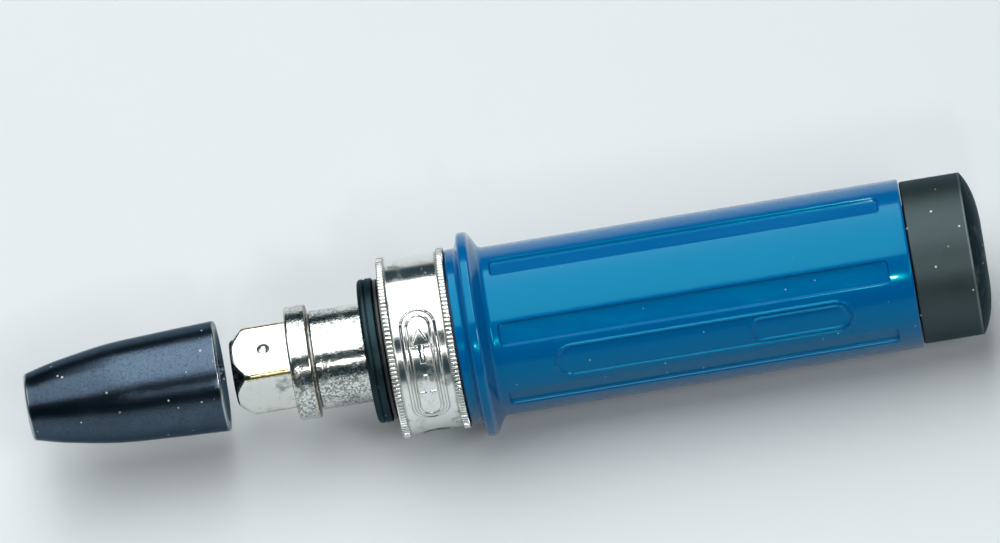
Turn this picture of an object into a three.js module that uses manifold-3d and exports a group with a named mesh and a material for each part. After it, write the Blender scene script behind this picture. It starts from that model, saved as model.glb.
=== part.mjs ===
// Hand impact driver with a half-inch square drive and its pulled-off bit holder.
// Millimetres. The tool's axis lies along X, the drive points to -X and the striking cap to +X.
// Angles round the axis are counted from +Z by the right-hand rule about +X.
// Stations along the axis are counted from the tip of the square drive.

import * as THREE from 'three';
import { mergeVertices } from 'three/addons/utils/BufferGeometryUtils.js';
import Module from 'manifold-3d';

const wasm = await Module();
wasm.setup();

// Facets of a full turn, by the size of what is turned
const bodyFacets = 48;
const innerFacets = 32;
const smallFacets = 16;
const ringSides = 6;
const ringSteps = 14;
const ringFacets = 20;
const curveSteps = 4;
const edgeSteps = 2;
const taperSteps = 7;

// Clearances
const runningGap = 0.3;
const seatGap = 0.3;
const sealGap = 0.2;
const cutOverrun = 2;

// Square drive and spindle
const squareAcross = 12.7;
const squareLength = 11.3;
const squareCornerTrim = 0.55;
const squareTipTaper = 2.2;
const squareTipDrop = 1.5;
const spindleRadius = 9.6;
const ringHeight = 1.45;
const ringWidth = 4.2;
const ringFrontChamfer = 0.7;
const ringRearChamfer = 0.3;
const undercutWidth = 0.6;
const undercutDepth = 0.5;
const spindleExposed = 10;
const spindleOverrun = 1.5;
const spindleRearChamfer = 0.8;

// Detent ball in the upper flat of the square
const ballRadius = 2.2;
const ballProud = 0.35;
const ballStationShare = 0.58;
const ballHoleGap = 0.25;
const detentSpringWire = 0.6;
const detentSpringLength = 3.4;
const detentSpringTurns = 3;

// Front nut with its seal and O-ring
const nutFlangeWidth = 2.9;
const nutInset = 0.3;
const nutEdgeRound = 0.9;
const nutSpannerHoleRadius = 1;
const nutSpannerHoleDepth = 1.6;
const nutSpannerAngle = 35;
const frontSealThickness = 0.8;
const frontSealInset = 0.4;
const spindleRingSection = 0.7;

// Direction collar
const collarLength = 13;
const collarInset = 0.3;
const collarWall = 2.6;
const collarKnurlWidth = 1.3;
const collarKnurlTeeth = 130;
const collarKnurlDepth = 0.4;
const collarBandDrop = 0.15;
const collarTurn = 40;
const collarRingSection = 0.6;
const collarRingStationShare = 0.16;

// Dog point screws that tie the collar to the cam sleeve
const keyDogRadius = 1.7;
const keyThreadRadius = 2.5;
const keySocketAcross = 2.5;
const keySocketDepth = 1.2;
const keyHeadDrop = 0.4;
const keyAngle = -57;

// Cam sleeve with its two triangular windows
const sleeveWall = 2.3;
const sleeveFrontLand = 2;
const sleeveBridge = 3;
const sleeveRearLand = 4;
const windowSteps = 6;
const crossPinRadius = 3;
const crossPinAngle = 20;
const blowStroke = 8;

// Barrel
const barrelWall = 1.8;
const boreStep = 1.1;
const barrelShoulderHeight = 1.5;
const barrelShoulderWidth = 3;

// Spring follower and main spring
const followerFlange = 3;
const followerSpigotRadius = 6.2;
const followerSpigotLength = 5;
const followerChamfer = 0.5;
const springWire = 3.2;
const springPitch = 5.8;
const springSteps = 9;
const springSides = 5;

// Grip sleeve
const gripLength = 88.1;
const gripWall = 1.75;
const neckStep = 0.65;
const neckLength = 1.9;
const neckRise = 0.9;
const flangeHeight = 3.45;
const flangeWidth = 1.8;
const flangeBevel = 1.9;
const gripEdgeRound = 0.4;
const channelCount = 7;
const channelWidth = 4.6;
const channelDepth = 0.85;
const channelFrontLand = 1.7;
const channelRearLand = 4.4;
const channelCornerRadius = 0.9;
const channelAngle = 40;

// Striking cap and its lock pin
const capLength = 14.1;
const capInset = 0.6;
const capCrown = 2.6;
const capCrownFlatShare = 0.4;
const crownPower = 4;
const capFrontChamfer = 0.4;
const capSpigotLength = 14;
const capSpigotChamfer = 0.8;
const lockPinRadius = 1.5;

// Bit holder, its sockets and its wire ring
const holderLength = 37.9;
const holderPulledOff = 2.2;
const holderMouthWall = 1.9;
const holderMouthChamfer = 0.5;
const holderNoseWall = 1.8;
const holderNoseRound = 0.7;
const holderTaperShares = [[0.12, 0.27], [0.25, 0.49], [0.42, 0.72], [0.7, 0.88]];
const bitAcross = 8;
const bitGap = 0.15;
const bitSocketDepth = 16;
const bitSocketMouth = 0.5;
const squareSocketGap = 0.4;
const squareSocketSpare = 1.6;
const squareSocketMouth = 0.6;
const bitRingSection = 0.5;
const bitRingSeat = 0.6;
const bitRingStation = 4.5;
const bitRingOpening = 50;

// Radii that follow from one another, from the spindle outwards
const journalBore = spindleRadius + runningGap;
const sleeveRadius = journalBore + sleeveWall;
const barrelBore = sleeveRadius + runningGap;
const barrelRadius = barrelBore + barrelWall;
const springBore = barrelBore - boreStep;
const collarBore = barrelRadius + runningGap;
const collarBandRadius = collarBore + collarWall;
const knurlRadius = collarBandRadius + collarKnurlDepth;
const gripBodyRadius = barrelRadius + seatGap + gripWall;
const neckRadius = gripBodyRadius + neckStep;
const flangeRadius = gripBodyRadius + flangeHeight;
const shoulderRadius = barrelRadius + barrelShoulderHeight;
const capRadius = gripBodyRadius - capInset;
const nutRadius = barrelRadius - nutInset;
const ringRadius = spindleRadius + ringHeight;
const followerRadius = springBore - runningGap;
const springMeanRadius = springBore - runningGap - springWire / 2;
const windowRadius = crossPinRadius + runningGap;
const keyHoleRadius = keyDogRadius + runningGap;
const squareCornerRadius = squareAcross * Math.SQRT1_2 - squareCornerTrim;

// Stations that follow from one another, from the tip of the square backwards
const ringRear = squareLength + ringWidth;
const journalFront = ringRear + undercutWidth;
const nutFront = journalFront + spindleExposed;
const nutFlangeRear = nutFront + nutFlangeWidth;
const frontSealFront = nutFlangeRear + sealGap;
const frontSealRear = frontSealFront + frontSealThickness;
const barrelFront = frontSealRear + sealGap;
const collarFront = barrelFront + collarInset;
const collarRear = collarFront + collarLength;
const keyStation = (collarFront + collarRear) / 2;
const sleeveFront = keyStation - keyHoleRadius - sleeveFrontLand;
const nutRear = sleeveFront - seatGap;
const pinStation = keyStation + keyHoleRadius + sleeveBridge + windowRadius;
const apexStation = pinStation + blowStroke;
const sleeveRear = apexStation + windowRadius + sleeveRearLand;
const boreStepStation = sleeveRear + seatGap;
const spindleRear = boreStepStation + spindleOverrun;
const followerFront = spindleRear + seatGap;
const followerRear = followerFront + followerFlange;
const shoulderFront = collarRear + runningGap;
const shoulderRear = shoulderFront + barrelShoulderWidth;
const gripFront = shoulderFront;
const flangeFront = gripFront + neckLength + neckRise;
const flangeRear = flangeFront + flangeWidth;
const gripBodyFront = flangeRear + flangeBevel;
const gripRear = gripFront + gripLength;
const barrelRear = gripRear;
const capFront = barrelRear + seatGap;
const capRear = capFront + capLength;
const capSpigotFront = capFront - capSpigotLength;
const lockPinStation = capFront - capSpigotLength / 2;
const springFront = followerRear + seatGap;
const springRear = capSpigotFront - seatGap;

const holderRest = -holderPulledOff - holderLength;
const axisHeight = flangeRadius;
const frontToBack = capRear - holderRest;

// Turns an outline of [station, radius] points round the X axis. The outline runs along the
// outside to the rear first, and back along the bore where there is one.
function revolved(outline, facets) {
  const points = outline.map(([station, radius]) => new THREE.Vector2(radius, station));
  const first = points[0];
  const last = points[points.length - 1];
  if (first.x !== 0 || last.x !== 0) {
    points.push(first.clone());
  }
  const geometry = new THREE.LatheGeometry(points, facets);
  geometry.rotateZ(-Math.PI / 2);
  return geometry;
}

// Points of a quarter arc about [station, radius], as a rounded edge of an outline.
function roundedEdge(station, radius, round, fromDegrees, toDegrees, steps = edgeSteps) {
  const points = [];
  for (let step = 0; step <= steps; step += 1) {
    const angle = THREE.MathUtils.degToRad(
      THREE.MathUtils.lerp(fromDegrees, toDegrees, step / steps));
    points.push([station + round * Math.cos(angle), radius + round * Math.sin(angle)]);
  }
  return points;
}

// A closed solid made ready for joining and cutting: shared corners are merged and
// the flattened triangles at the poles of a turned shape are left out.
function solidOf(geometry) {
  const bare = new THREE.BufferGeometry();
  bare.setAttribute('position', geometry.getAttribute('position').clone());
  if (geometry.index) {
    bare.setIndex(geometry.index.clone());
  }
  const merged = mergeVertices(bare);
  const corners = merged.index.array;
  const kept = [];
  for (let i = 0; i < corners.length; i += 3) {
    const [a, b, c] = [corners[i], corners[i + 1], corners[i + 2]];
    if (a !== b && b !== c && c !== a) {
      kept.push(a, b, c);
    }
  }
  return new wasm.Manifold(new wasm.Mesh({
    numProp: 3,
    vertProperties: new Float32Array(merged.getAttribute('position').array),
    triVerts: new Uint32Array(kept),
  }));
}

function geometryOf(solid) {
  const mesh = solid.getMesh();
  const geometry = new THREE.BufferGeometry();
  geometry.setAttribute('position', new THREE.BufferAttribute(mesh.vertProperties, 3));
  geometry.setIndex(new THREE.BufferAttribute(mesh.triVerts, 1));
  geometry.computeVertexNormals();
  return geometry;
}

function cutFrom(geometry, cutters) {
  const solid = cutters.reduce((left, cutter) => left.subtract(solidOf(cutter)), solidOf(geometry));
  return geometryOf(solid);
}

function joined(first, second) {
  return geometryOf(solidOf(first).add(solidOf(second)));
}

function common(first, second) {
  return geometryOf(solidOf(first).intersect(solidOf(second)));
}

// A round bar or hole along X between two stations.
function barAlongX(front, rear, radius, facets) {
  return revolved([[front, 0], [front, radius], [rear, radius], [rear, 0]], facets);
}

// A round bar or hole that stands on the axis at a station, between two distances from it.
function radialBar(station, angle, inner, outer, radius, facets) {
  const bar = new THREE.CylinderGeometry(radius, radius, outer - inner, facets);
  bar.rotateX(Math.PI / 2);
  bar.translate(0, 0, (inner + outer) / 2);
  bar.rotateX(THREE.MathUtils.degToRad(angle));
  bar.translate(station, 0, 0);
  return bar;
}

// A bar with a regular outline along X: four sides for a square, six for a hexagon.
function sidedBar(front, rear, across, sides, turn) {
  const radius = across / 2 / Math.cos(Math.PI / sides);
  const shape = new THREE.Shape();
  for (let side = 0; side < sides; side += 1) {
    const angle = (side + 0.5) * 2 * Math.PI / sides + THREE.MathUtils.degToRad(turn);
    const [y, z] = [radius * Math.cos(angle), radius * Math.sin(angle)];
    if (side === 0) {
      shape.moveTo(y, z);
    } else {
      shape.lineTo(y, z);
    }
  }
  shape.closePath();
  return alongX(shape, front, rear);
}

// Extrudes a shape drawn in Y and Z along X, between two stations.
function alongX(shape, front, rear) {
  const geometry = new THREE.ExtrudeGeometry(shape, {
    depth: rear - front, bevelEnabled: false, curveSegments: curveSteps * 2,
  });
  geometry.rotateZ(Math.PI / 2);
  geometry.rotateY(Math.PI / 2);
  geometry.translate(front, 0, 0);
  return geometry;
}

// A coiled wire along X, with its ends cut square.
class Coil extends THREE.Curve {
  constructor(front, rear, radius, turns) {
    super();
    Object.assign(this, { front, rear, radius, turns });
  }

  getPoint(share, target = new THREE.Vector3()) {
    const angle = share * this.turns * 2 * Math.PI;
    const station = THREE.MathUtils.lerp(this.front, this.rear, share);
    return target.set(station, this.radius * Math.sin(angle), this.radius * Math.cos(angle));
  }
}

function coiledWire(front, rear, meanRadius, wire, turns, steps, sides) {
  const half = wire / 2;
  const path = new Coil(front + half, rear - half, meanRadius, turns);
  const section = new THREE.Shape();
  for (let side = 0; side < sides; side += 1) {
    const angle = side * 2 * Math.PI / sides;
    const [across, up] = [half * Math.cos(angle), half * Math.sin(angle)];
    if (side === 0) {
      section.moveTo(across, up);
    } else {
      section.lineTo(across, up);
    }
  }
  section.closePath();
  return new THREE.ExtrudeGeometry(section, {
    steps: Math.round(turns * steps), bevelEnabled: false, extrudePath: path,
  });
}

// A closed ring of round wire or rubber about the X axis.
function roundRing(station, meanRadius, section, facets) {
  const ring = new THREE.TorusGeometry(meanRadius, section, ringSides, facets);
  ring.rotateY(Math.PI / 2);
  ring.translate(station, 0, 0);
  return ring;
}

function spindle() {
  const turned = revolved([
    [squareLength, 0],
    [squareLength, ringRadius - ringFrontChamfer],
    [squareLength + ringFrontChamfer, ringRadius],
    [ringRear - ringRearChamfer, ringRadius],
    [ringRear, ringRadius - ringRearChamfer],
    [ringRear, spindleRadius - undercutDepth],
    [journalFront, spindleRadius - undercutDepth],
    [journalFront, spindleRadius],
    [spindleRear - spindleRearChamfer, spindleRadius],
    [spindleRear, spindleRadius - spindleRearChamfer],
    [spindleRear, 0],
  ], innerFacets);
  const blank = revolved([
    [0, 0],
    [0, squareCornerRadius - squareTipDrop],
    [squareTipTaper, squareCornerRadius],
    [squareLength + ringFrontChamfer, squareCornerRadius],
    [squareLength + ringFrontChamfer, 0],
  ], innerFacets);
  const square = common(blank, sidedBar(-cutOverrun, ringRear, squareAcross, 4, 0));
  const pinHole = radialBar(pinStation, crossPinAngle, -ringRadius - cutOverrun,
    ringRadius + cutOverrun, crossPinRadius + runningGap, smallFacets);
  const ballHole = radialBar(ballStation(), 0, detentSeat(), squareAcross,
    ballRadius + ballHoleGap, smallFacets);
  return cutFrom(joined(square, turned), [pinHole, ballHole]);
}

function ballStation() {
  return squareLength * ballStationShare;
}

function ballCentre() {
  return squareAcross / 2 + ballProud - ballRadius;
}

// Height above the axis of the bottom of the hole that holds the ball and its spring.
function detentSeat() {
  return ballCentre() - ballRadius - ballHoleGap - detentSpringLength - ballHoleGap;
}

function detentBall() {
  const ball = new THREE.SphereGeometry(ballRadius, smallFacets, smallFacets / 2);
  ball.rotateX(Math.PI / 2);
  ball.translate(ballStation(), 0, ballCentre());
  return ball;
}

function detentSpring() {
  const seat = detentSeat() + ballHoleGap;
  const meanRadius = ballRadius - detentSpringWire;
  const coil = coiledWire(seat, seat + detentSpringLength, meanRadius, detentSpringWire,
    detentSpringTurns, springSteps, springSides);
  coil.rotateY(-Math.PI / 2);
  coil.translate(ballStation(), 0, 0);
  return coil;
}

// How far from the axis a flat-ended pin reaches inside a round of the given radius.
function chordReach(roundRadius, pinRadius) {
  return Math.sqrt(roundRadius ** 2 - pinRadius ** 2);
}

function crossPin() {
  const reach = chordReach(sleeveRadius, crossPinRadius);
  return radialBar(pinStation, crossPinAngle, -reach, reach, crossPinRadius, smallFacets);
}

function frontNut() {
  const ringGroove = spindleRadius + 2 * spindleRingSection + 2 * sealGap;
  const grooveHalf = spindleRingSection + sealGap;
  const ringStation = spindleRingStation();
  const outline = [
    ...roundedEdge(nutFront + nutEdgeRound, nutRadius - nutEdgeRound, nutEdgeRound, 180, 90),
    [nutFlangeRear, nutRadius],
    [nutFlangeRear, barrelBore - runningGap],
    [nutRear, barrelBore - runningGap],
    [nutRear, journalBore],
    [ringStation + grooveHalf, journalBore],
    [ringStation + grooveHalf, ringGroove],
    [ringStation - grooveHalf, ringGroove],
    [ringStation - grooveHalf, journalBore],
    [nutFront, journalBore],
  ];
  const holeRadius = (journalBore + nutRadius) / 2;
  const spannerHoles = [0, 180].map((half) => {
    const hole = barAlongX(nutFront - cutOverrun, nutFront + nutSpannerHoleDepth,
      nutSpannerHoleRadius, smallFacets);
    hole.translate(0, 0, holeRadius);
    hole.rotateX(THREE.MathUtils.degToRad(nutSpannerAngle + half));
    return hole;
  });
  return cutFrom(revolved(outline, innerFacets), spannerHoles);
}

function spindleRingStation() {
  return (nutFront + nutRear) / 2;
}

function spindleRing() {
  const meanRadius = spindleRadius + sealGap + spindleRingSection;
  return roundRing(spindleRingStation(), meanRadius, spindleRingSection, ringFacets);
}

function frontSeal() {
  return revolved([
    [frontSealFront, barrelBore],
    [frontSealFront, nutRadius - frontSealInset],
    [frontSealRear, nutRadius - frontSealInset],
    [frontSealRear, barrelBore],
  ], innerFacets);
}

// One knurled rim: straight teeth rolled all round, seen as a toothed ring.
function knurledRim(front, rear) {
  const shape = new THREE.Shape();
  const points = 2 * collarKnurlTeeth;
  for (let point = 0; point < points; point += 1) {
    const angle = point * 2 * Math.PI / points;
    const radius = point % 2 === 0 ? knurlRadius : collarBandRadius;
    const [y, z] = [radius * Math.cos(angle), radius * Math.sin(angle)];
    if (point === 0) {
      shape.moveTo(y, z);
    } else {
      shape.lineTo(y, z);
    }
  }
  shape.closePath();
  return alongX(shape, front, rear);
}

function collarRingStation() {
  return collarFront + collarLength * collarRingStationShare;
}

function directionCollar() {
  const bandRadius = collarBandRadius - collarBandDrop;
  const band = barAlongX(collarFront + collarKnurlWidth / 2, collarRear - collarKnurlWidth / 2,
    bandRadius, bodyFacets);
  const frontRim = knurledRim(collarFront, collarFront + collarKnurlWidth);
  const rearRim = knurledRim(collarRear - collarKnurlWidth, collarRear);
  const grooveHalf = collarRingSection + sealGap;
  const groove = barrelRadius + 2 * collarRingSection + 2 * sealGap;
  const ringStation = collarRingStation();
  const bore = barAlongX(collarFront - cutOverrun, collarRear + cutOverrun, collarBore, bodyFacets);
  const ringGroove = barAlongX(ringStation - grooveHalf, ringStation + grooveHalf, groove, bodyFacets);
  const screwHoles = keyAngles().map((angle) => radialBar(keyStation, angle, 0,
    knurlRadius + cutOverrun, keyThreadRadius + runningGap, smallFacets));
  return cutFrom(joined(joined(band, frontRim), rearRim), [bore, ringGroove, ...screwHoles]);
}

function collarRing() {
  const meanRadius = barrelRadius + sealGap + collarRingSection;
  return roundRing(collarRingStation(), meanRadius, collarRingSection, ringFacets);
}

function keyAngles() {
  return [keyAngle, keyAngle + 180];
}

// Dog point screw: its thread stays in the collar, its dog reaches through the barrel's
// arc slot into the cam sleeve.
function collarKeyScrew(angle) {
  const threadInner = collarBore;
  const threadOuter = collarBandRadius - collarBandDrop - keyHeadDrop;
  const dogInner = journalBore + runningGap;
  const outline = [
    [dogInner, 0], [dogInner, keyDogRadius],
    [threadInner, keyDogRadius], [threadInner, keyThreadRadius],
    [threadOuter, keyThreadRadius], [threadOuter, 0],
  ];
  const socket = sidedBar(threadOuter - keySocketDepth, threadOuter + cutOverrun,
    keySocketAcross, 6, 0);
  const screw = cutFrom(revolved(outline, smallFacets), [socket]);
  screw.rotateY(-Math.PI / 2);
  screw.rotateX(THREE.MathUtils.degToRad(angle));
  screw.translate(keyStation, 0, 0);
  return screw;
}

// Outline of a cam window on the unrolled bore of the sleeve: the rounded triangle that
// wraps the pin in its two front corners and in the apex behind them.
function windowOutline() {
  const across = THREE.MathUtils.degToRad(collarTurn) * journalBore;
  const centres = [
    new THREE.Vector2(0, pinStation),
    new THREE.Vector2(-across / 2, apexStation),
    new THREE.Vector2(-across, pinStation),
  ];
  const points = [];
  centres.forEach((centre, i) => {
    const before = centres[(i + 2) % 3];
    const after = centres[(i + 1) % 3];
    const from = Math.atan2(centre.y - before.y, centre.x - before.x) - Math.PI / 2;
    let to = Math.atan2(after.y - centre.y, after.x - centre.x) - Math.PI / 2;
    while (to < from) {
      to += 2 * Math.PI;
    }
    for (let step = 0; step <= windowSteps; step += 1) {
      const angle = THREE.MathUtils.lerp(from, to, step / windowSteps);
      points.push(new THREE.Vector2(
        centre.x + windowRadius * Math.cos(angle), centre.y + windowRadius * Math.sin(angle)));
    }
  });
  return points;
}

// The window's outline as a plug that is wrapped round the axis, so its walls run radially.
function windowPlug(turn) {
  const shape = new THREE.Shape(windowOutline());
  const depth = sleeveWall + 2 * cutOverrun;
  const plug = new THREE.ExtrudeGeometry(shape, { depth, bevelEnabled: false });
  const place = plug.getAttribute('position');
  for (let i = 0; i < place.count; i += 1) {
    const angle = place.getX(i) / journalBore + THREE.MathUtils.degToRad(turn);
    const radius = journalBore - cutOverrun + place.getZ(i);
    place.setXYZ(i, place.getY(i), -radius * Math.sin(angle), radius * Math.cos(angle));
  }
  return plug;
}

function camSleeve() {
  const tube = revolved([
    [sleeveFront, journalBore], [sleeveFront, sleeveRadius],
    [sleeveRear, sleeveRadius], [sleeveRear, journalBore],
  ], innerFacets);
  const keyHoles = keyAngles().map((angle) => radialBar(keyStation, angle, 0,
    sleeveRadius + cutOverrun, keyHoleRadius, smallFacets));
  const windows = [0, 180].map((half) => windowPlug(crossPinAngle + half));
  return cutFrom(tube, [...keyHoles, ...windows]);
}

// Arc slot in the barrel, as long as the collar's turn, with round ends.
function arcSlot(start) {
  const [inner, outer] = [barrelBore - cutOverrun, barrelRadius + cutOverrun];
  const shape = new THREE.Shape();
  const from = THREE.MathUtils.degToRad(start + 90);
  const to = THREE.MathUtils.degToRad(start + collarTurn + 90);
  shape.absarc(0, 0, outer, from, to, false);
  shape.absarc(0, 0, inner, to, from, true);
  shape.closePath();
  return alongX(shape, keyStation - keyHoleRadius, keyStation + keyHoleRadius);
}

function barrel() {
  const tube = revolved([
    [barrelFront, barrelBore], [barrelFront, barrelRadius],
    [shoulderFront, barrelRadius], [shoulderFront, shoulderRadius],
    [shoulderRear, shoulderRadius], [shoulderRear, barrelRadius],
    [barrelRear, barrelRadius], [barrelRear, springBore],
    [boreStepStation, springBore], [boreStepStation, barrelBore],
  ], innerFacets);
  const slots = keyAngles().flatMap((angle) => [
    arcSlot(angle),
    radialBar(keyStation, angle, 0, barrelRadius + cutOverrun, keyHoleRadius, smallFacets),
    radialBar(keyStation, angle + collarTurn, 0, barrelRadius + cutOverrun, keyHoleRadius,
      smallFacets),
  ]);
  return cutFrom(tube, [...slots, lockPinHole()]);
}

function lockPinHole() {
  const reach = barrelRadius + cutOverrun;
  return radialBar(lockPinStation, 0, -reach, reach, lockPinRadius + runningGap, smallFacets);
}

function lockPin() {
  const reach = chordReach(barrelRadius, lockPinRadius);
  return radialBar(lockPinStation, 0, -reach, reach, lockPinRadius, smallFacets);
}

function springFollower() {
  return revolved([
    [followerFront, 0],
    [followerFront, followerRadius - followerChamfer],
    [followerFront + followerChamfer, followerRadius],
    [followerRear, followerRadius],
    [followerRear, followerSpigotRadius],
    [followerRear + followerSpigotLength - followerChamfer, followerSpigotRadius],
    [followerRear + followerSpigotLength, followerSpigotRadius - followerChamfer],
    [followerRear + followerSpigotLength, 0],
  ], innerFacets);
}

function mainSpring() {
  const turns = Math.round((springRear - springFront) / springPitch);
  return coiledWire(springFront, springRear, springMeanRadius, springWire, turns,
    springSteps, springSides);
}

// A channel pressed into the grip: a flat-bottomed recess with rounded corners.
function gripChannel(angle) {
  const length = gripRear - channelRearLand - gripBodyFront - channelFrontLand;
  const [halfLength, halfWidth] = [length / 2, channelWidth / 2];
  const round = Math.min(channelCornerRadius, halfWidth, halfLength);
  const shape = new THREE.Shape();
  shape.moveTo(-halfLength + round, -halfWidth);
  shape.lineTo(halfLength - round, -halfWidth);
  shape.absarc(halfLength - round, -halfWidth + round, round, -Math.PI / 2, 0, false);
  shape.absarc(halfLength - round, halfWidth - round, round, 0, Math.PI / 2, false);
  shape.absarc(-halfLength + round, halfWidth - round, round, Math.PI / 2, Math.PI, false);
  shape.absarc(-halfLength + round, -halfWidth + round, round, Math.PI, 1.5 * Math.PI, false);
  shape.closePath();
  const recess = new THREE.ExtrudeGeometry(shape, {
    depth: channelDepth + cutOverrun, bevelEnabled: false, curveSegments: curveSteps / 2,
  });
  recess.translate(gripBodyFront + channelFrontLand + halfLength, 0, gripBodyRadius - channelDepth);
  recess.rotateX(THREE.MathUtils.degToRad(angle));
  return recess;
}

function gripSleeve() {
  const sleeveBore = barrelRadius + seatGap;
  const neckBore = shoulderRadius + seatGap;
  const outline = [
    [gripFront, neckBore],
    [gripFront, neckRadius],
    [gripFront + neckLength, neckRadius],
    ...roundedEdge(flangeFront + gripEdgeRound, flangeRadius - gripEdgeRound, gripEdgeRound, 180, 90),
    ...roundedEdge(flangeRear - gripEdgeRound, flangeRadius - gripEdgeRound, gripEdgeRound, 90, 30),
    [gripBodyFront, gripBodyRadius],
    ...roundedEdge(gripRear - gripEdgeRound, gripBodyRadius - gripEdgeRound, gripEdgeRound, 90, 0),
    [gripRear, sleeveBore],
    [shoulderRear + seatGap, sleeveBore],
    [shoulderRear + seatGap, neckBore],
  ];
  const spacing = 360 / channelCount;
  const channels = Array.from({ length: channelCount }, (_, i) => (
    gripChannel(channelAngle + i * spacing)));
  return cutFrom(revolved(outline, bodyFacets), channels);
}

// Crowned striking face, from the cap's edge to the flat in its middle: it falls away from
// the flat with the fourth power of the radius.
function capCrownOutline() {
  const flatFall = capCrownFlatShare ** crownPower;
  const points = [];
  for (let step = 0; step <= curveSteps; step += 1) {
    const share = THREE.MathUtils.lerp(1, capCrownFlatShare, step / curveSteps);
    const fall = (share ** crownPower - flatFall) / (1 - flatFall);
    points.push([capRear - capCrown * fall, capRadius * share]);
  }
  return points;
}

function strikingCap() {
  const spigotRadius = springBore - seatGap;
  const outline = [
    [capSpigotFront, 0],
    [capSpigotFront, spigotRadius - capSpigotChamfer],
    [capSpigotFront + capSpigotChamfer, spigotRadius],
    [capFront, spigotRadius],
    [capFront, capRadius - capFrontChamfer],
    [capFront + capFrontChamfer, capRadius],
    ...capCrownOutline(),
    [capRear, 0],
  ];
  return cutFrom(revolved(outline, bodyFacets), [lockPinHole()]);
}

function hexCorner() {
  return (bitAcross / 2 + bitGap) / Math.cos(Math.PI / 6);
}

function bitRingMean() {
  return hexCorner() + bitRingSeat - bitRingSection;
}

// Long taper of the holder, from the nose over the shares of its length and swell.
function holderOutside(noseRadius, mouthRadius) {
  const [from, to] = [holderNoseRound, holderLength - holderMouthChamfer];
  return holderTaperShares.map(([along, swell]) => [
    THREE.MathUtils.lerp(from, to, along), THREE.MathUtils.lerp(noseRadius, mouthRadius, swell)]);
}

function bitHolder() {
  const noseRadius = hexCorner() + holderNoseWall;
  const socketCorner = squareCornerRadius + squareSocketGap;
  const mouthRadius = socketCorner + holderMouthWall;
  const taper = [
    [holderNoseRound, noseRadius],
    ...holderOutside(noseRadius, mouthRadius),
    [holderLength - holderMouthChamfer, mouthRadius],
  ].map(([station, radius]) => new THREE.Vector2(station, radius));
  const smoothTaper = new THREE.SplineCurve(taper).getPoints(taperSteps);
  const outline = [
    [0, 0],
    ...roundedEdge(holderNoseRound, noseRadius - holderNoseRound, holderNoseRound, 180, 105),
    ...smoothTaper.map(({ x, y }) => [x, y]),
    [holderLength, mouthRadius - holderMouthChamfer],
    [holderLength, 0],
  ];
  const bitSocket = sidedBar(-cutOverrun, bitSocketDepth, bitAcross + 2 * bitGap, 6, 0);
  const bitMouth = revolved([
    [-cutOverrun, 0], [-cutOverrun, hexCorner() + bitSocketMouth],
    [0, hexCorner() + bitSocketMouth], [bitSocketMouth * 2, hexCorner() - bitSocketMouth],
    [bitSocketMouth * 2, 0],
  ], smallFacets);
  const ringHalf = bitRingSection + sealGap;
  const ringGroove = barAlongX(bitRingStation - ringHalf, bitRingStation + ringHalf,
    bitRingMean() + bitRingSection + sealGap, smallFacets);
  const squareDepth = squareLength + squareSocketSpare;
  const squareSocket = common(
    sidedBar(holderLength - squareDepth, holderLength + cutOverrun,
      squareAcross + 2 * squareSocketGap, 4, 0),
    barAlongX(0, holderLength + 2 * cutOverrun, socketCorner, innerFacets));
  const mouthCorner = socketCorner + squareSocketMouth / 2;
  const squareMouth = revolved([
    [holderLength - squareSocketMouth, 0],
    [holderLength - squareSocketMouth, socketCorner - squareSocketMouth],
    [holderLength, mouthCorner],
    [holderLength + cutOverrun, mouthCorner],
    [holderLength + cutOverrun, 0],
  ], innerFacets);
  return cutFrom(revolved(outline, bodyFacets),
    [bitSocket, bitMouth, ringGroove, squareSocket, squareMouth]);
}

// Open wire ring that springs over the corners of a bit.
class OpenRing extends THREE.Curve {
  getPoint(share, target = new THREE.Vector3()) {
    const angle = THREE.MathUtils.degToRad(bitRingOpening / 2 + share * (360 - bitRingOpening));
    const radius = bitRingMean();
    return target.set(bitRingStation, radius * Math.sin(angle), radius * Math.cos(angle));
  }
}

function bitRing() {
  const section = new THREE.Shape();
  section.absarc(0, 0, bitRingSection, 0, 2 * Math.PI, false);
  return new THREE.ExtrudeGeometry(section, {
    steps: ringSteps, curveSegments: ringSides, bevelEnabled: false, extrudePath: new OpenRing(),
  });
}

const model = new THREE.Group();
const tool = new THREE.Group();
tool.position.set(frontToBack / 2 - capRear, 0, axisHeight);
model.add(tool);
const holder = new THREE.Group();
holder.position.set(holderRest, 0, 0);
tool.add(holder);

function addPiece(group, name, geometry, color, roughness, metalness) {
  const material = new THREE.MeshStandardMaterial({ color, roughness, metalness, flatShading: true });
  const mesh = new THREE.Mesh(geometry, material);
  mesh.name = name;
  group.add(mesh);
}

addPiece(tool, 'striking_cap', strikingCap(), 0x2b3133, 0.45, 0.8);
addPiece(tool, 'barrel', barrel(), 0x4a4c4e, 0.5, 0.9);
addPiece(tool, 'cap_lock_pin', lockPin(), 0x808284, 0.4, 1);
addPiece(tool, 'grip_sleeve', gripSleeve(), 0x0a6ca8, 0.25, 0);
addPiece(tool, 'main_spring', mainSpring(), 0x6b6e70, 0.4, 1);
addPiece(tool, 'spring_follower', springFollower(), 0x7d8082, 0.4, 1);
addPiece(tool, 'front_nut', frontNut(), 0x15181a, 0.4, 0.7);
addPiece(tool, 'front_seal', frontSeal(), 0x101112, 0.7, 0);
addPiece(tool, 'spindle_o_ring', spindleRing(), 0x141414, 0.7, 0);
addPiece(tool, 'direction_collar', directionCollar(), 0xc9cccb, 0.2, 1);
addPiece(tool, 'collar_o_ring', collarRing(), 0x141414, 0.7, 0);
keyAngles().forEach((angle, i) => {
  addPiece(tool, `collar_key_screw_${i + 1}`, collarKeyScrew(angle), 0x55585a, 0.4, 1);
});
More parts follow.
